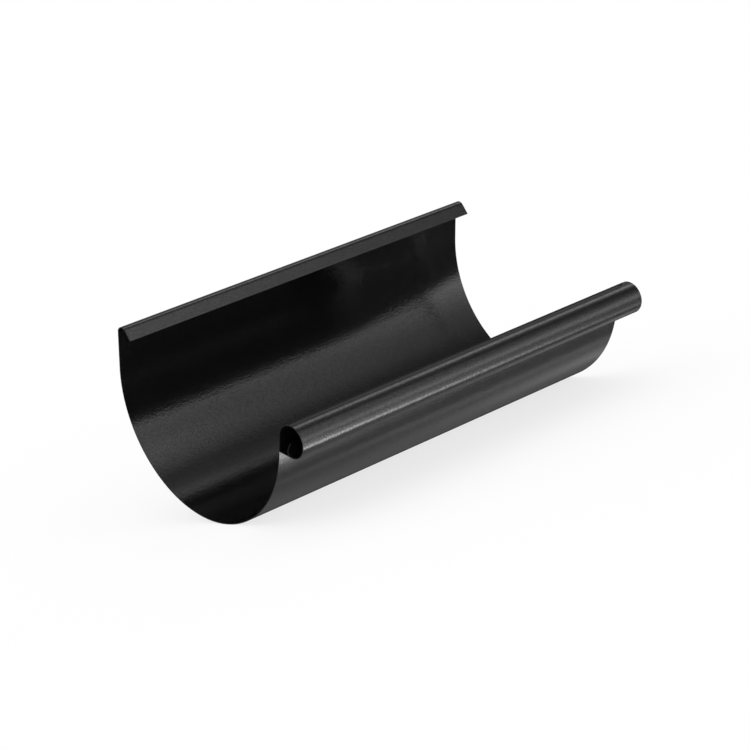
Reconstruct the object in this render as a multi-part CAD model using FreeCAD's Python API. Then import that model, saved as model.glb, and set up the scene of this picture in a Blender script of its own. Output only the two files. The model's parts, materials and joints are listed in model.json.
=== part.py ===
"""Short length of half-round sheet-steel roof gutter, one piece of formed sheet.

Millimetres.  +Y runs along the gutter, and its two open ends face -Y and +Y.
The section is first drawn as it hangs on a roof: origin on the axis of the half-round, X across
from the high back wall (-X) to the front bead (+X), Z up.  The finished piece is then turned
about its length to the attitude in which it comes to rest on a level floor, with the middle of
its footprint at the origin.
"""
import math
import os

import FreeCAD
import Part

V = FreeCAD.Vector

# Sheet and overall size
SHEET = 0.6                 # coated sheet thickness
LENGTH = 250.0              # length along the gutter
BORE = 127.0                # inner diameter of the half-round channel

# Back edge: wall, fold and sloping flange
BACK_WALL = 20.6            # straight wall above the axis of the half-round
FOLD_OUT = 3.64             # outer radius of the fold at the top of the wall
FLANGE_SLOPE = 47.3         # slope of the flange below horizontal, degrees
FLANGE = 6.1                # straight part of the flange, along its slope

# Front edge: leaning wall, bead and the curl inside it
FRONT_LEAN = 3.2            # lean of the front wall away from the channel, degrees
FRONT_WALL = 11.9           # straight front wall between the half-round and the bead
BEAD_OUT = 9.0              # outer radius of the bead
CURL_OUT = 2.9              # outer radius of the curl that springs from the bead's lowest line
CURL_TURN = 113.0           # turn of the curl, degrees
CURL_TAIL = 4.5             # straight end of the curl, up to the free edge


def walk(start, heading, steps):
    """Runs of the middle of the sheet: straights and bends, with their ends or centres.

    A step is ("run", length) or ("bend", middle radius, turn).  Headings are in degrees from +X,
    and a turn to the left is positive.
    """
    runs = []
    x, z = start
    for step in steps:
        a = math.radians(heading)
        if step[0] == "run":
            end_x = x + step[1] * math.cos(a)
            end_z = z + step[1] * math.sin(a)
            runs.append(("run", (x, z), (end_x, end_z), heading))
            x, z = end_x, end_z
        else:
            radius, turn = step[1], step[2]
            side = math.copysign(1.0, turn)
            centre_x = x - side * radius * math.sin(a)
            centre_z = z + side * radius * math.cos(a)
            runs.append(("bend", (centre_x, centre_z), radius, heading, turn))
            heading += turn
            b = math.radians(heading)
            x = centre_x + side * radius * math.sin(b)
            z = centre_z - side * radius * math.cos(b)
    return runs


def face_edges(runs, shift):
    """Edges of one face of the sheet, a distance to the left of its middle."""
    edges = []
    for run in runs:
        if run[0] == "run":
            a = math.radians(run[3])
            aside = V(-shift * math.sin(a), 0, shift * math.cos(a))
            start, end = [V(x, 0, z) + aside for x, z in run[1:3]]
            edges.append(Part.makeLine(start, end))
        else:
            (centre_x, centre_z), radius, heading, turn = run[1:]
            side = math.copysign(1.0, turn)
            r = radius - side * shift
            points = []
            for part_way in (0.0, 0.5, 1.0):
                b = math.radians(heading + turn * part_way)
                points.append(V(centre_x + side * r * math.sin(b), 0, centre_z - side * r * math.cos(b)))
            edges.append(Part.Arc(*points).toShape())
    return edges


def sheet_section(runs):
    """Flat face of the bent sheet, its full thickness about the walked middle."""
    left = face_edges(runs, SHEET / 2)
    right = face_edges(runs, -SHEET / 2)
    first_edge = Part.makeLine(left[0].firstVertex().Point, right[0].firstVertex().Point)
    last_edge = Part.makeLine(left[-1].lastVertex().Point, right[-1].lastVertex().Point)
    return Part.Face(Part.Wire(Part.__sortEdges__(left + right + [first_edge, last_edge])))


# The sheet is followed from the free edge of the flange: up the flange, over the fold, down the
# back wall, round the channel, up the front wall, over and round the bead to its lowest line, and
# up into the curl.
channel_r = (BORE + SHEET) / 2
bead_r = BEAD_OUT - SHEET / 2
first_heading = 180.0 - FLANGE_SLOPE
steps = [
    ("run", FLANGE),
    ("bend", FOLD_OUT - SHEET / 2, 90.0 + FLANGE_SLOPE),
    ("run", BACK_WALL),
    ("bend", channel_r, 180.0 - FRONT_LEAN),
    ("run", FRONT_WALL),
    ("bend", bead_r, -(270.0 - FRONT_LEAN)),
    ("bend", CURL_OUT - SHEET / 2, -CURL_TURN),
    ("run", CURL_TAIL),
]
# A first walk from zero finds the top of the back wall, which stands over the side of the channel
top_x, top_z = walk((0.0, 0.0), first_heading, steps)[2][1]
runs = walk((-channel_r - top_x, BACK_WALL - top_z), first_heading, steps)
sheet = sheet_section(runs).extrude(V(0, LENGTH, 0))

# The bead is closed underneath by a straight strip, level with its lowest line, out to the wall
front_wall_foot = runs[4][1]
bead_x, bead_z = runs[5][1]
strip_z = bead_z - BEAD_OUT
wall_x = front_wall_foot[0] + (strip_z - front_wall_foot[1]) * math.tan(math.radians(FRONT_LEAN))
strip = Part.makeBox(bead_x - wall_x, LENGTH, SHEET, V(wall_x, 0, strip_z))
gutter = sheet.fuse(strip).removeSplitter().Solids[0]

# At rest on a floor the middle of mass is straight below the axis of the half-round
middle = gutter.CenterOfMass
tilt = math.degrees(math.atan2(middle.x, -middle.z))
gutter.rotate(V(0, 0, 0), V(0, 1, 0), tilt)
box = gutter.BoundBox
gutter.translate(V(-(box.XMin + box.XMax) / 2, -LENGTH / 2, -box.ZMin))

print("resting tilt %.2f degrees, volume %.0f cubic mm" % (tilt, gutter.Volume))
os.makedirs("parts", exist_ok=True)
gutter.exportStep("parts/gutter_section.step")
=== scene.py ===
# %% [markdown]
# # A short length of half-round roof gutter
#
# This lesson dresses one piece of formed sheet steel: a half-round rain gutter, 250 mm long, with
# a high back wall folded over at its top and a rolled bead along its front. The steel is coated
# near-black on both sides. The sheet is modelled here as a bender would form it, run by run and
# bend by bend, and then gets its coating, a small studio, a floor and a camera.

# %% Load the frame
import math
import json

import bpy
import bmesh
from mathutils import Matrix, Vector


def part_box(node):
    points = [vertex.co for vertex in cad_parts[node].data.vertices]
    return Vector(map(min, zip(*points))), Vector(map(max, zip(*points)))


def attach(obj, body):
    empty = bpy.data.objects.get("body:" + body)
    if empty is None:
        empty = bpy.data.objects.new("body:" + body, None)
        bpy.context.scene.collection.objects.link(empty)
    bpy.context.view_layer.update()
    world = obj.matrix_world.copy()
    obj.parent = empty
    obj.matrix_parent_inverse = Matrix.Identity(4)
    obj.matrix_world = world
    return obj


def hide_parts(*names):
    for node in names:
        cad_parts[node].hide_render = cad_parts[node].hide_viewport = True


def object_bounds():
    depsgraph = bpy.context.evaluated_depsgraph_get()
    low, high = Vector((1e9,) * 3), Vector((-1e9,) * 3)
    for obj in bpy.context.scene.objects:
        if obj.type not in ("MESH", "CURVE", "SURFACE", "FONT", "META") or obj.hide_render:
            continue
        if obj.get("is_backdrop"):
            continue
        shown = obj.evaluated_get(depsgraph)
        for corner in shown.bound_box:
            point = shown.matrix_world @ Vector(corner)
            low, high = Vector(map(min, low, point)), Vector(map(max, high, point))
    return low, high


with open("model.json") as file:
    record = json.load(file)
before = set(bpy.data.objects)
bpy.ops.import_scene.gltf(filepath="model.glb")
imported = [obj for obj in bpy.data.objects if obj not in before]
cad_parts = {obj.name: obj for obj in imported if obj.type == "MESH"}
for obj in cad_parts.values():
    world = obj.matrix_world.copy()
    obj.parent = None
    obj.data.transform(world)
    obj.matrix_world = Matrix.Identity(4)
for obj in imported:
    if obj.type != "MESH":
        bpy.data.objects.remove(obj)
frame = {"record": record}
cad_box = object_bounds()
print("frame box, metres:", [round(c, 5) for corner in cad_box for c in corner])

# %% [markdown]
# ## Two attitudes
#
# A gutter is drawn as it hangs on the roof, with the axis of its half-round level and its back
# wall upright. Lying loose on a floor it rolls until its middle of mass is lowest, so the finished
# piece is turned about its length. The bracket's seat points straight down while the gutter
# hangs, so the direction of that seat gives the turn, and a step of one radius back along it
# finds the axis of the half-round. All modelling is done in the hanging attitude about that axis.

# %% Find the axis and the resting turn
mounts = {mount["name"]: mount for mount in frame["record"]["mounts"]}
seat = mounts["bracket_seat"]
seat_down = Vector(seat["axis"]).normalized()
channel_axis = Vector(seat["pos_m"]) - seat_down * seat["dims"]["r_mm"] / 1000
resting_turn = math.atan2(-seat_down.x, -seat_down.z)

low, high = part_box("gutter_section")
LENGTH = high.y - low.y
turn_to_rest = Matrix.Rotation(resting_turn, 4, "Y")
hung_to_resting = Matrix.Translation((channel_axis.x, 0, channel_axis.z)) @ turn_to_rest
print("length %.1f mm, resting turn %.2f degrees" % (LENGTH * 1000, math.degrees(resting_turn)))

# %% [markdown]
# ## The sizes of the profile
#
# A sheet profile is set out by the thickness of the sheet, the outer radius of each bend and the
# length of each straight run. Only the half-round goes by its bore, the clear width of the channel.
# These are the sizes of the common 127 mm half-round, in metres, with angles in degrees. Everything
# else about the section follows from them.

# %% Sizes of the sheet, in metres and degrees
SHEET = 0.0006
BORE = 0.127
BACK_WALL = 0.0206
FOLD_OUT = 0.00364
FLANGE_SLOPE = 47.3
FLANGE = 0.0061
FRONT_LEAN = 3.2
FRONT_WALL = 0.0119
BEAD_OUT = 0.009
CURL_OUT = 0.0029
CURL_TURN = 113.0
CURL_TAIL = 0.0045
EDGE_BREAK = 0.00005

straight_runs = FLANGE + BACK_WALL + FRONT_WALL + CURL_TAIL
print("straight runs together, mm:", round(straight_runs * 1000, 1))

# %% [markdown]
# ## Helpers for edit mode
#
# An operator works on whatever is selected, so each step first clears the selection and then picks
# what it needs by place. The long edge that the sheet is grown from is always the last one made,
# and extrude and spin both leave it selected.

# %% Small helpers
def clear_selection():
    bpy.ops.object.select_all(action="DESELECT")
    bpy.context.view_layer.objects.active = None


def only(piece):
    clear_selection()
    piece.select_set(True)
    bpy.context.view_layer.objects.active = piece


def selected_middle():
    """Middle of the selected points, in the hanging attitude."""
    points = [v.co for v in bmesh.from_edit_mesh(bpy.context.object.data).verts if v.select]
    return sum(points, Vector()) / len(points)


# %% [markdown]
# ## Growing the sheet
#
# The middle of the sheet is one long ribbon. It starts as a plane the size of the sloping flange,
# and from the top edge of the plane the rest is grown, one after the other: the fold, the back
# wall, the half-round, the front wall, the bead and the curl inside the bead. A straight run is an
# extrude along the sheet's heading, and a bend is a spin about the bend's own axis, in fine steps,
# so every bend is an arc that flows into its runs without a kink.

# %% Run and bend
heading = math.radians(180.0 - FLANGE_SLOPE)
ARC_STEP = math.radians(2.5)


def along(angle):
    return Vector((math.cos(angle), 0, math.sin(angle)))


def run(length):
    bpy.ops.mesh.extrude_region_move(TRANSFORM_OT_translate={"value": along(heading) * length})


def bend(outer_radius, turn, step=ARC_STEP):
    """Spins the last edge. A turn to the left, towards +Z from +X, is positive."""
    global heading
    turn = math.radians(turn)
    side = math.copysign(1.0, turn)
    centre = selected_middle() + along(heading + side * math.pi / 2) * (outer_radius - SHEET / 2)
    bpy.ops.mesh.spin(
        steps=math.ceil(abs(turn) / step),
        angle=abs(turn),
        center=centre,
        axis=(0, side, 0),
        use_auto_merge=False,
    )
    heading += turn
    return centre


# %% [markdown]
# The ribbon is grown in one go. A plane the size of the flange is laid on its slope, its top long
# edge is picked by its height, and the bends and runs follow one another. Then doubled points, if
# there are any, are merged, all faces are made to look the same way, and the ribbon is moved so
# that the axis of the half-round is the origin. The middle of the bead and its lowest line are
# written down on the way, because the closing strip is set out from that line.

# %% Model the ribbon
clear_selection()
bpy.ops.mesh.primitive_plane_add(size=1, location=along(heading) * FLANGE / 2)
gutter = bpy.context.object
gutter.name = "gutter_sheet"
gutter.dimensions = (FLANGE, LENGTH, 0)
gutter.rotation_euler = (0, -heading, 0)
bpy.ops.object.transform_apply(location=True, rotation=True, scale=True)

bpy.ops.object.mode_set(mode="EDIT")
bpy.ops.mesh.select_mode(type="EDGE")
bpy.ops.mesh.select_all(action="DESELECT")
ribbon = bmesh.from_edit_mesh(gutter.data)
top_edge = max(ribbon.edges, key=lambda edge: sum(v.co.z for v in edge.verts))
top_edge.select_set(True)
bmesh.update_edit_mesh(gutter.data)

bend(FOLD_OUT, 90.0 + FLANGE_SLOPE)
run(BACK_WALL)
channel_middle = bend(BORE / 2 + SHEET, 180.0 - FRONT_LEAN)
run(FRONT_WALL)
bead_middle = bend(BEAD_OUT, FRONT_LEAN - 270.0)
bead_foot = selected_middle()
bend(CURL_OUT, -CURL_TURN)
run(CURL_TAIL)
bead_middle = bead_middle - channel_middle
bead_foot = bead_foot - channel_middle

bpy.ops.mesh.select_all(action="SELECT")
bpy.ops.mesh.remove_doubles(threshold=SHEET / 1000)
bpy.ops.mesh.normals_make_consistent(inside=False)
bpy.ops.object.mode_set(mode="OBJECT")
only(gutter)
bpy.ops.transform.translate(value=-channel_middle)
bpy.ops.object.transform_apply(location=True, rotation=True, scale=True)
print("bead middle, mm:", [round(c * 1000, 3) for c in bead_middle])
print("ribbon points:", len(gutter.data.vertices))

# %% [markdown]
# ## From ribbon to sheet
#
# The Solidify modifier gives the ribbon the sheet's full thickness, half to each side of it, and
# keeps it even round the bends.

# %% Give the sheet its thickness
thickness = gutter.modifiers.new("thickness", "SOLIDIFY")
thickness.thickness = SHEET
thickness.offset = 0
thickness.use_even_offset = True
bpy.ops.object.modifier_apply(modifier=thickness.name)
print("sheet faces:", len(gutter.data.polygons))

# %% [markdown]
# ## The strip that closes the bead
#
# Seen from its open end, the bead isn't left open below: a level strip of the same sheet runs from
# the front wall to the lowest line of the bead, and the curl stands inside, above it. The strip
# starts as a plane at the level of the bead's foot, is extruded down to the thickness of the sheet,
# and a Boolean union makes it one body with the sheet. It stops just short of the two cut ends, so
# that the sheet's own edges can be broken there without a gap.

# %% Close the bead with a strip
strip_top = bead_foot.z + SHEET / 2
wall_middle = BORE / 2 + SHEET / 2 + strip_top * math.tan(math.radians(FRONT_LEAN))
clear_selection()
bpy.ops.mesh.primitive_plane_add(size=1, location=((wall_middle + bead_foot.x) / 2, 0, strip_top))
strip = bpy.context.object
strip.dimensions = (bead_foot.x - wall_middle, LENGTH - 4 * EDGE_BREAK, 0)
bpy.ops.object.transform_apply(location=True, rotation=True, scale=True)
bpy.ops.object.mode_set(mode="EDIT")
bpy.ops.mesh.select_all(action="SELECT")
bpy.ops.mesh.extrude_region_move(TRANSFORM_OT_translate={"value": (0, 0, -SHEET)})
bpy.ops.mesh.select_all(action="SELECT")
bpy.ops.mesh.normals_make_consistent(inside=False)
bpy.ops.object.mode_set(mode="OBJECT")

only(gutter)
union = gutter.modifiers.new("closed bead", "BOOLEAN")
union.operation = "UNION"
union.solver = "EXACT"
union.object = strip
bpy.ops.object.modifier_apply(modifier=union.name)
only(strip)
bpy.ops.object.delete()
only(gutter)
print("faces with the strip:", len(gutter.data.polygons))

# %% [markdown]
# ## Breaking the edges
#
# No cut edge of a real sheet is a perfect corner. Every outward corner gets a twentieth of a
# millimetre of bevel: the two cut ends, the ends of the strip, and the free edges of the flange and
# the curl. They are found by their angle, since no bend turns by more than a few degrees from one
# face to the next. Inward corners, where the strip meets the wall, stay as they are.

# %% Bevel the outward corners
CORNER = math.radians(60)

bpy.ops.object.mode_set(mode="EDIT")
bpy.ops.mesh.select_mode(type="EDGE")
bpy.ops.mesh.select_all(action="DESELECT")
shell = bmesh.from_edit_mesh(gutter.data)
corners = [edge for edge in shell.edges if edge.is_convex and edge.calc_face_angle() > CORNER]
for edge in corners:
    edge.select_set(True)
bmesh.update_edit_mesh(gutter.data)
bpy.ops.mesh.bevel(offset=EDGE_BREAK, segments=2, clamp_overlap=False)
bpy.ops.object.mode_set(mode="OBJECT")
print("bevelled edges:", len(corners), "faces now:", len(gutter.data.polygons))

# %% [markdown]
# ## Laying the gutter down
#
# The finished piece is turned to its resting attitude, and the turn is applied to its points, so
# that the object itself stays at the origin, unturned. The bends are shaded smooth. Their faces
# meet at two or three degrees, and those of a broken edge at more than twenty, so a limit between
# the two keeps each cut edge crisp.

# %% Turn the gutter to its resting attitude
SMOOTH_BELOW = math.radians(12)

gutter.matrix_world = hung_to_resting
bpy.ops.object.transform_apply(location=True, rotation=True, scale=True)
bpy.ops.object.shade_smooth_by_angle(angle=SMOOTH_BELOW)

lowest, highest = gutter.bound_box[0], gutter.bound_box[6]
print("resting box, mm:", [round(c * 1000, 2) for c in (*lowest, *highest)])

# %% [markdown]
# ## Shader helpers
#
# Both finishes of the sheet, its coated faces and its cut ends, share one grain. It is a node group
# with named inputs and outputs, so that each material places it with its own values. A few short
# helpers keep the wiring readable.

# %% Wiring helpers
def new_group(name, inputs, outputs):
    """A shader node group with float inputs that have defaults, and float outputs."""
    group = bpy.data.node_groups.new(name, "ShaderNodeTree")
    for title, value in inputs.items():
        socket = group.interface.new_socket(title, in_out="INPUT", socket_type="NodeSocketFloat")
        socket.default_value = value
    for title in outputs:
        group.interface.new_socket(title, in_out="OUTPUT", socket_type="NodeSocketFloat")
    return group


def wire(tree, kind, links=None, **settings):
    """Adds a node, sets its properties, and sets or links its inputs by name or number."""
    node = tree.nodes.new(kind)
    for name, value in settings.items():
        setattr(node, name, value)
    for socket, source in (links or {}).items():
        if isinstance(source, bpy.types.NodeSocket):
            tree.links.new(source, node.inputs[socket])
        else:
            node.inputs[socket].default_value = source
    return node


def calc(tree, operation, *values):
    """A Math node, whose values are numbers or sockets."""
    return wire(tree, "ShaderNodeMath", dict(enumerate(values)), operation=operation).outputs["Value"]


def group_node(tree, group, **values):
    """Places a node group. A value named half_width goes to the input called Half width."""
    links = {name.replace("_", " ").capitalize(): value for name, value in values.items()}
    return wire(tree, "ShaderNodeGroup", links, node_tree=group)


# %% [markdown]
# ## The grain of the coating
#
# The coating is baked on before the sheet is formed. Close up it has a fine grain, about a
# millimetre across, over slower waves of a few millimetres, and the rollers of the machine leave
# faint straight lines along the gutter. They all show only in the reflections. Finer than the
# grain are specks of little more than half a millimetre, which mirror more or less than the coat
# around them. Grain, waves and specks are noise on object coordinates at three sizes, and the lines
# are such noise drawn out along the length.

# %% Build the grain group
grain = new_group(
    "coat_grain",
    {
        "Speck size": 0.0006,
        "Grain size": 0.001,
        "Wave size": 0.006,
        "Line size": 0.0012,
        "Grain": 0.6,
        "Waves": 0.15,
        "Lines": 0.12,
    },
    ["Height", "Cloud", "Speck"],
)
STRETCH = 60.0

given = grain.nodes.new("NodeGroupInput").outputs
place = wire(grain, "ShaderNodeTexCoord").outputs["Object"]
stretched = {"Vector": place, "Scale": (1, 1 / STRETCH, 1)}
drawn_out = wire(grain, "ShaderNodeMapping", stretched).outputs["Vector"]


def noise(vector, size, detail):
    values = {"Vector": vector, "Scale": calc(grain, "DIVIDE", 1.0, size), "Detail": detail}
    return wire(grain, "ShaderNodeTexNoise", values).outputs["Fac"]


grains = calc(grain, "MULTIPLY", noise(place, given["Grain size"], 1.0), given["Grain"])
waves_shape = noise(place, given["Wave size"], 0.0)
waves = calc(grain, "MULTIPLY", waves_shape, given["Waves"])
lines = calc(grain, "MULTIPLY", noise(drawn_out, given["Line size"], 2.0), given["Lines"])
height = calc(grain, "ADD", calc(grain, "ADD", grains, waves), lines)
specks = noise(place, given["Speck size"], 0.0)
wire(grain, "NodeGroupOutput", {"Height": height, "Cloud": waves_shape, "Speck": specks})
print("grain group nodes:", len(grain.nodes))

# %% [markdown]
# ## The two finishes
#
# The faces of the sheet are near-black with a soft gloss: a Principled shader with very little
# colour of its own, so that nearly all that is seen of it is the studio mirrored in it. The colour
# and the gloss drift a little from place to place. The specks come from the Metallic input: over so
# dark a colour, a share of metal takes about that share off the head-on mirror image, and the
# specular level is raised a little to make up for it on the whole. The cut ends are duller, because
# the shears leave the coating torn there, and their colour is a little lighter than the coat's: a
# painted highlight, standing in for the light that the narrow cut edge catches.

# %% Coated steel
NOISE_RANGE = {"From Min": 0.3, "From Max": 0.7}


def finish_material(name, tone, roughness, mirror, drift, bump, speckle, **grain_values):
    """Near-black finish. Drift is how far tone and roughness wander, as a share of themselves, and
    speckle is the share of metal in the dullest specks."""
    material = bpy.data.materials.new(name)
    material.use_nodes = True
    tree = material.node_tree
    shader = tree.nodes["Principled BSDF"]
    texture = group_node(tree, grain, **grain_values)

    def spread(mask, low, high):
        ends = {"Value": texture.outputs[mask], "To Min": low, "To Max": high, **NOISE_RANGE}
        return wire(tree, "ShaderNodeMapRange", ends).outputs["Result"]

    def wander(value):
        return spread("Cloud", value * (1 - drift), value * (1 + drift))

    colour = wire(tree, "ShaderNodeCombineColor")
    for channel, share in zip(("Red", "Green", "Blue"), tone):
        tree.links.new(wander(share), colour.inputs[channel])
    tree.links.new(colour.outputs["Color"], shader.inputs["Base Color"])
    tree.links.new(wander(roughness), shader.inputs["Roughness"])
    tree.links.new(spread("Speck", speckle, 0.0), shader.inputs["Metallic"])
    shader.inputs["Specular IOR Level"].default_value = mirror
    relief = {"Height": texture.outputs["Height"], "Strength": 1.0, "Distance": bump}
    bumps = wire(tree, "ShaderNodeBump", relief)
    tree.links.new(bumps.outputs["Normal"], shader.inputs["Normal"])
    return material


COAT_TONE = (0.007, 0.007, 0.007)
# The tone of the cut ends is a little lighter than the coat's: a painted highlight for the light that
# the narrow edge catches.
CUT_TONE_AND_PAINTED_HIGHLIGHT = (0.0108, 0.0108, 0.0106)
coated = finish_material(
    "coated_steel", COAT_TONE, roughness=0.12, mirror=0.645, drift=0.08, bump=0.0001, speckle=0.49
)
cut_edge = finish_material(
    "cut_edge",
    CUT_TONE_AND_PAINTED_HIGHLIGHT,
    roughness=0.42,
    mirror=0.59,
    drift=0.15,
    bump=0.00001,
    speckle=0.33,
    grain=1.0,
    lines=0.0,
)
print("finishes:", coated.name, "and", cut_edge.name)

# %% [markdown]
# Each face of the sheet gets one of the two finishes. The cut ends are the faces that look along
# the gutter, so the direction of a face is enough to tell them. The plain CAD piece is then
# hidden, and the gutter is attached to the root body in its place.

# %% Put the finishes on the sheet
LOOKS_ALONG = 0.5

gutter.data.materials.append(coated)
gutter.data.materials.append(cut_edge)
for face in gutter.data.polygons:
    face.material_index = int(abs(face.normal.y) > LOOKS_ALONG)
print("cut faces:", sum(face.material_index for face in gutter.data.polygons))

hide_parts("gutter_section")
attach(gutter, "root")

# %% [markdown]
# ## The camera
#
# The photograph looks at the gutter from the front right and above, from about 1.3 m, with the
# gutter in its hanging attitude. The camera is set up in that attitude and then turned with the
# gutter, so that the picture stays the photograph's while the gutter lies at rest. Its place is
# measured from the axis of the half-round at the near end.

# %% Set up the camera
CAMERA_PLACE = (0.93398, -0.75152, 0.61481)
CAMERA_AZIMUTH = 46.801
CAMERA_ELEVATION = 26.516
LENS = 125.54
SENSOR = 36.0

camera_data = bpy.data.cameras.new("camera")
camera_data.sensor_width = SENSOR
camera_data.lens = LENS
camera = bpy.data.objects.new("camera", camera_data)
bpy.context.scene.collection.objects.link(camera)
aim = Matrix.Rotation(math.radians(CAMERA_AZIMUTH), 4, "Z")
aim = aim @ Matrix.Rotation(math.radians(90 - CAMERA_ELEVATION), 4, "X")
near_end = Matrix.Translation((0, -LENGTH / 2, 0))
camera.matrix_world = hung_to_resting @ near_end @ Matrix.Translation(CAMERA_PLACE) @ aim
bpy.context.scene.camera = camera
print("camera at, metres:", [round(c, 4) for c in camera.matrix_world.translation])

# %% [markdown]
# ## The studio
#
# A near-black gloss coating shows almost nothing but what it mirrors, so the studio is what gives
# this object its looks. The plain light that falls on everything is an even white sky. Round the
# gutter stands a tent with soft light panels, long bands that run the length of the gutter, as a
# studio puts round dark glossy stock. Only mirror rays see the tent: it puts no extra light on
# matt surfaces, and it casts no shadow.
#
# A band is a range of directions. Around is the angle round the gutter's axis, and along is how far
# a direction leans towards the far end, from 0 for square to the gutter to 1 for straight along it.
# The band has soft sides, and may fade out at a stop on its way along. With a negative fade it
# starts there instead, and with a negative strength it holds light back.

# %% The light panel group
panel = new_group(
    "light_panel",
    {
        "Around": 0.0,
        "Along": 0.0,
        "Middle": 0.0,
        "Half width": 10.0,
        "Soft": 5.0,
        "Stop": 2.0,
        "Fade": 0.1,
        "Strength": 1.0,
    },
    ["Light"],
)
given = panel.nodes.new("NodeGroupInput").outputs


def smooth_map(tree, value, start, end, at_start, at_end):
    """Goes smoothly from one result to another while the value goes from start to end."""
    ends = {"Value": value, "From Min": start, "From Max": end, "To Min": at_start, "To Max": at_end}
    return wire(tree, "ShaderNodeMapRange", ends, interpolation_type="SMOOTHSTEP").outputs["Result"]


def soft_step(value, edge, soft):
    """1 well below the edge, 0 well above it."""
    half = calc(panel, "MULTIPLY", soft, 0.5)
    start = calc(panel, "SUBTRACT", edge, half)
    end = calc(panel, "ADD", edge, half)
    return smooth_map(panel, value, start, end, 1.0, 0.0)


aside = calc(panel, "WRAP", calc(panel, "SUBTRACT", given["Around"], given["Middle"]), 180.0, -180.0)
across = soft_step(calc(panel, "ABSOLUTE", aside), given["Half width"], given["Soft"])
reach = soft_step(given["Along"], given["Stop"], given["Fade"])
light = calc(panel, "MULTIPLY", calc(panel, "MULTIPLY", across, reach), given["Strength"])
wire(panel, "NodeGroupOutput", {"Light": light})
print("panel group nodes:", len(panel.nodes))

# %% [markdown]
# The tent is one big sphere that glows by direction: a dim light all over, plus what each panel
# adds. Seen by this camera, the mirror rays of the gutter all lean towards its far end. Rays that
# head square to it or back belong to other views, and for them the light is kept below a quiet
# limit, so that the strong low panels don't flare there.
# Angles are in degrees from the front, up over the gutter, in its hanging attitude.

# %% The tent and its panels
TENT_LIGHT = 0.064
PANELS = {
    "overhead": dict(middle=114.8, half_width=9.1, soft=18.2, strength=1.42),
    "overhead_core": dict(middle=116, half_width=4, soft=6, strength=0.25),
    "sky": dict(middle=75, half_width=69, soft=11, strength=0.19),
    "high_near": dict(middle=77, half_width=7, soft=10, strength=0.4, stop=0.556, fade=0.09),
    "dark_high": dict(middle=78, half_width=12, soft=14, strength=-0.07, stop=0.605, fade=-0.03),
    "front_upper": dict(middle=59.2, half_width=12.3, soft=24.6, strength=1.37, stop=0.602, fade=0.3),
    "front": dict(middle=26.8, half_width=17.5, soft=34.2, strength=1.3),
    "front_lower": dict(middle=-12, half_width=36.7, soft=22.7, strength=1.04, stop=0.722, fade=0.28),
    "low_glow": dict(middle=-28, half_width=21.6, soft=36, strength=5.8, stop=0.535, fade=0.29),
    "low_strip": dict(middle=-37, half_width=9.2, soft=3.1, strength=6.5, stop=0.576, fade=0.3),
    "under": dict(middle=-68, half_width=46, soft=60, strength=0.28),
    "dark_low": dict(middle=-139, half_width=9, soft=6, strength=-0.045),
    "thin_line": dict(middle=-74.5, half_width=3.2, soft=3, strength=0.42, stop=0.564, fade=-0.143),
    "under_far": dict(middle=-94, half_width=9.6, soft=14.4, strength=0.82, stop=0.691, fade=-0.2),
    "back_low": dict(middle=-156, half_width=9, soft=16, strength=0.32, stop=0.609, fade=-0.193),
    "back": dict(middle=149, half_width=60, soft=14, strength=0.2),
}
TENT_RADIUS = 10.0
QUIET_LIGHT = 0.6
QUIET_FROM = 0.1
QUIET_UP_TO = 0.3


def bare_material(name):
    """A material with nothing in its tree but the output."""
    material = bpy.data.materials.new(name)
    material.use_nodes = True
    material.node_tree.nodes.remove(material.node_tree.nodes["Principled BSDF"])
    return material


def show(tree, shader):
    """Puts a shader on the surface."""
    tree.links.new(shader, tree.nodes["Material Output"].inputs["Surface"])


def only_in_mirrors(piece):
    """Makes a stage piece that nothing but a mirror ray meets."""
    piece.visible_camera = False
    piece.visible_diffuse = False
    piece.visible_transmission = False
    piece.visible_shadow = False
    piece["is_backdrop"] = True


tent_material = bare_material("tent")
tree = tent_material.node_tree
way = wire(tree, "ShaderNodeTexCoord").outputs["Object"]
way = wire(tree, "ShaderNodeVectorMath", {0: way}, operation="NORMALIZE").outputs["Vector"]
parts = wire(tree, "ShaderNodeSeparateXYZ", {"Vector": way}).outputs
around = calc(tree, "DEGREES", calc(tree, "ARCTAN2", parts["Z"], parts["X"]))
total = TENT_LIGHT
for values in PANELS.values():
    light = group_node(tree, panel, around=around, along=parts["Y"], **values).outputs["Light"]
    total = calc(tree, "ADD", total, light)
quiet = calc(tree, "MINIMUM", total, QUIET_LIGHT)
brightness = smooth_map(tree, parts["Y"], QUIET_FROM, QUIET_UP_TO, quiet, total)
show(tree, wire(tree, "ShaderNodeEmission", {"Color": brightness}).outputs["Emission"])

clear_selection()
bpy.ops.mesh.primitive_uv_sphere_add(segments=64, ring_count=32, radius=TENT_RADIUS)
tent = bpy.context.object
tent.name = "tent"
tent.rotation_euler = (0, resting_turn, 0)
tent.data.materials.append(tent_material)
tent_material.cycles.emission_sampling = "NONE"
only_in_mirrors(tent)
print("panels:", len(PANELS))

# %% [markdown]
# Black cards keep light out of the mirror image where it isn't wanted. Two flags stand past the far
# end, cut roughly to the lower part of the channel, and shade the inside of the back wall from the
# low strip. The near one serves most of the length and the far one the last part. Two narrow cards
# run the length of the gutter, one behind the bead and one beyond the lip of the flange. They shade
# the two sides of the channel a little further than the sheet's own edges do. The front of every
# card is evenly dark. Its back goes from almost black at a low level to grey a little higher,
# because the bead mirrors the back of the card behind it. The corners of a flag go
# counter-clockwise as seen from the near end, and so its front looks at the channel.

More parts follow.
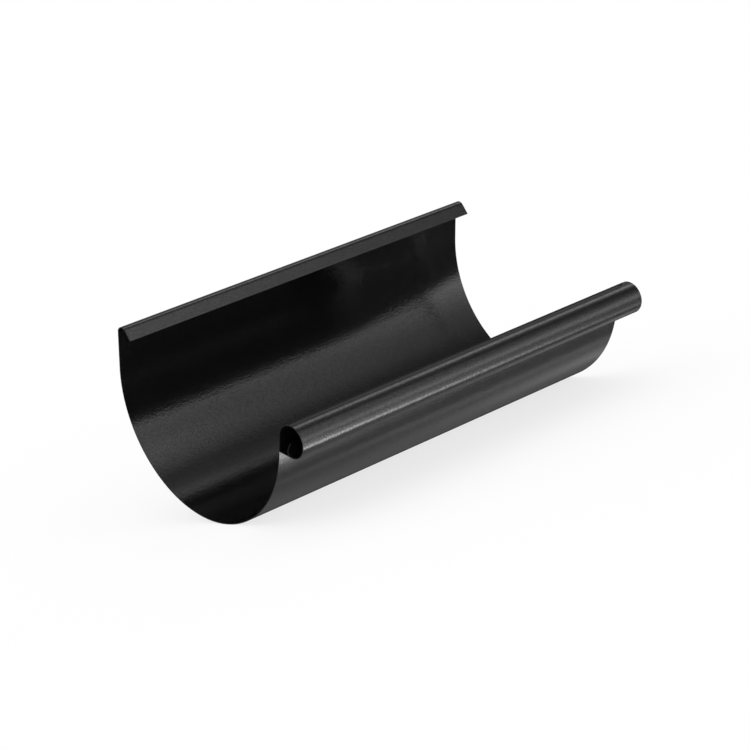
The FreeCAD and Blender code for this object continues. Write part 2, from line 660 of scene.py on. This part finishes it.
# %% The black cards
CARD_LIGHT = 0.08
CARD_BACK_LIGHT = (0.04, 0.34)
CARD_BACK_RISE = (0.0165, 0.021)
NEAR_FLAG_GAP = 1
NEAR_FLAG = [
    (-25, -16.2),
    (-25, -29),
    (-4, -45),
    (10, -57),
    (22, -60),
    (34, -54),
    (45, -45),
    (55.5, -32),
    (63.5, -15),
    (65.5, -2),
    (73, -1),
    (79, 4),
    (79, 11),
    (73, 14.5),
    (66, 14.5),
    (65, 28),
    (51, 19.6),
    (39, 11.6),
    (27, 5.3),
    (15, -0.9),
    (3, -6.4),
    (-9.4, -11.2),
]
FAR_FLAG_GAP = 80
FAR_FLAG = [
    (-4, -52),
    (58, -90),
    (72, -72),
    (86, -48),
    (92, -20),
    (92, 28),
    (79, 19.5),
    (70.4, 12.5),
    (61.7, 4.6),
    (56.3, -0.6),
    (46.6, -4.8),
    (37, -7.4),
    (30, -13.5),
    (-4, -28),
]
BEHIND_BEAD = [(64.5, 28.5), (64.5, 12.5)]
PAST_LIP = [(-53.2, 18.2), (-49.5, 20)]
END = LENGTH / 2 * 1000


def glow_material(name, front, back):
    """Shines a little whatever falls on it. The back is graded by height, from a dark to a pale end."""
    material = bare_material(name)
    tree = material.node_tree
    height = wire(tree, "ShaderNodeTexCoord").outputs["Object"]
    height = wire(tree, "ShaderNodeSeparateXYZ", {"Vector": height}).outputs["Z"]
    rise = {"Value": height, "From Min": CARD_BACK_RISE[0], "From Max": CARD_BACK_RISE[1]}
    rise.update({"To Min": back[0], "To Max": back[1]})
    graded = wire(tree, "ShaderNodeMapRange", rise).outputs["Result"]
    seen_from_back = wire(tree, "ShaderNodeNewGeometry").outputs["Backfacing"]
    faces = {"Value": seen_from_back, "To Min": front, "To Max": graded}
    brightness = wire(tree, "ShaderNodeMapRange", faces).outputs["Result"]
    show(tree, wire(tree, "ShaderNodeEmission", {"Color": brightness}).outputs["Emission"])
    material.cycles.emission_sampling = "NONE"
    return material


def card(name, corners, material):
    """A flat card, seen by mirror rays only. Corners are in millimetres, in the hanging attitude."""
    clear_selection()
    bpy.ops.mesh.primitive_circle_add(vertices=len(corners), radius=0.05, fill_type="NGON")
    piece = bpy.context.object
    piece.name = name
    for point, corner in zip(piece.data.vertices, corners):
        point.co = [c / 1000 for c in corner]
    piece.matrix_world = hung_to_resting
    piece.data.materials.append(material)
    only_in_mirrors(piece)


def strip_corners(edge, past_end=0):
    """Corners of a card that runs along the gutter, from the two ends of its edge."""
    (x0, z0), (x1, z1) = edge
    far = END + past_end
    return [(x0, -END, z0), (x0, far, z0), (x1, far, z1), (x1, -END, z1)]


black = glow_material("black_card", CARD_LIGHT, CARD_BACK_LIGHT)
card("near_flag", [(x, END + NEAR_FLAG_GAP, z) for x, z in NEAR_FLAG], black)
card("far_flag", [(x, END + FAR_FLAG_GAP, z) for x, z in FAR_FLAG], black)
card("card_behind_bead", strip_corners(BEHIND_BEAD), black)
card("card_past_lip", strip_corners(PAST_LIP), black)
print("cards, past the far end by mm:", NEAR_FLAG_GAP, FAR_FLAG_GAP, "and two along the gutter")

# %% [markdown]
# A scrim is a thin net that dims what is seen through it. One lies over the opening of the channel,
# from the lip of the flange to the bead, and reaches on past the far end. It is denser beside the
# lip, and over the far half of the gutter, and elsewhere it thins out to nothing. Its material lets
# one share of each ray through and shows dark threads for the rest.

# %% The scrim
SCRIM = [(-53.2, 17), (64, 17)]
SCRIM_PAST_END = 130
SCRIM_LIP = 0.3
LIP_FROM, LIP_UP_TO = -0.034, -0.042
SCRIM_FAR = 0.24
FAR_FROM, FAR_UP_TO = -0.11, 0.0

scrim = glow_material("scrim", CARD_LIGHT, (CARD_LIGHT, CARD_LIGHT))
tree = scrim.node_tree
net = wire(tree, "ShaderNodeTexCoord").outputs["Object"]
net = wire(tree, "ShaderNodeSeparateXYZ", {"Vector": net}).outputs
lip = smooth_map(tree, net["X"], LIP_FROM, LIP_UP_TO, 0.0, SCRIM_LIP)
far = smooth_map(tree, net["Y"], FAR_FROM, FAR_UP_TO, 0.0, SCRIM_FAR)
density = calc(tree, "ADD", lip, far)
holes = wire(tree, "ShaderNodeBsdfTransparent").outputs["BSDF"]
threads = tree.nodes["Emission"].outputs["Emission"]
show(tree, wire(tree, "ShaderNodeMixShader", {"Fac": density, 1: holes, 2: threads}).outputs["Shader"])
card("scrim", strip_corners(SCRIM, SCRIM_PAST_END), scrim)
print("densest part of the scrim:", round(SCRIM_LIP + SCRIM_FAR, 2))

# %% [markdown]
# ## The floor and the sky
#
# The sky is an even white of strength 1, at which a colour renders about as it is written. The
# floor is pale. To the camera it also glows, so that it reads as white and the gutter's shadow
# still darkens it, and its material would do the same in a mirror and through glass. The mirror
# rays of the coating pass this floor, though, and end on the tent, whose low panels stand below
# floor level, as for a gutter held up on a thin stand.

# %% Floor and sky
FLOOR_SIZE = 60.0
FLOOR_TONE = 0.8
FLOOR_GLOW = 0.7

clear_selection()
bpy.ops.mesh.primitive_plane_add(size=FLOOR_SIZE)
floor = bpy.context.object
floor.name = "floor"
floor_material = bare_material("floor")
tree = floor_material.node_tree
matt = wire(tree, "ShaderNodeBsdfDiffuse", {"Color": (FLOOR_TONE, FLOOR_TONE, FLOOR_TONE, 1)})
glow_strength = (1 - FLOOR_TONE * (1 - FLOOR_GLOW)) / FLOOR_GLOW
glow = wire(tree, "ShaderNodeEmission", {"Strength": glow_strength})
rays = wire(tree, "ShaderNodeLightPath").outputs
seen = calc(tree, "ADD", rays["Is Camera Ray"], rays["Is Glossy Ray"])
seen = calc(tree, "ADD", seen, rays["Is Transmission Ray"])
share = calc(tree, "MULTIPLY", seen, FLOOR_GLOW)
layers = {"Fac": share, 1: matt.outputs["BSDF"], 2: glow.outputs["Emission"]}
show(tree, wire(tree, "ShaderNodeMixShader", layers).outputs["Shader"])
floor.data.materials.append(floor_material)
floor.visible_glossy = False
floor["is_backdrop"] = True

world = bpy.data.worlds.new("sky")
bpy.context.scene.world = world
world.use_nodes = True
world.node_tree.nodes["Background"].inputs["Color"].default_value = (1, 1, 1, 1)
world.node_tree.nodes["Background"].inputs["Strength"].default_value = 1.0
bpy.context.scene.view_settings.view_transform = "Standard"
print("floor glow strength:", round(glow_strength, 3))

# %% [markdown]
# ## The sizes of the dressed gutter
#
# The box of the dressed gutter is printed beside the frame's own box, so that the two can be
# compared.

# %% Print the sizes and finish
bpy.context.view_layer.update()
visual_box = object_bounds()
boxes = {"cad": cad_box, "visual": visual_box}
for name, box in boxes.items():
    print(name, "box, mm:", [round(c * 1000, 2) for corner in box for c in corner])
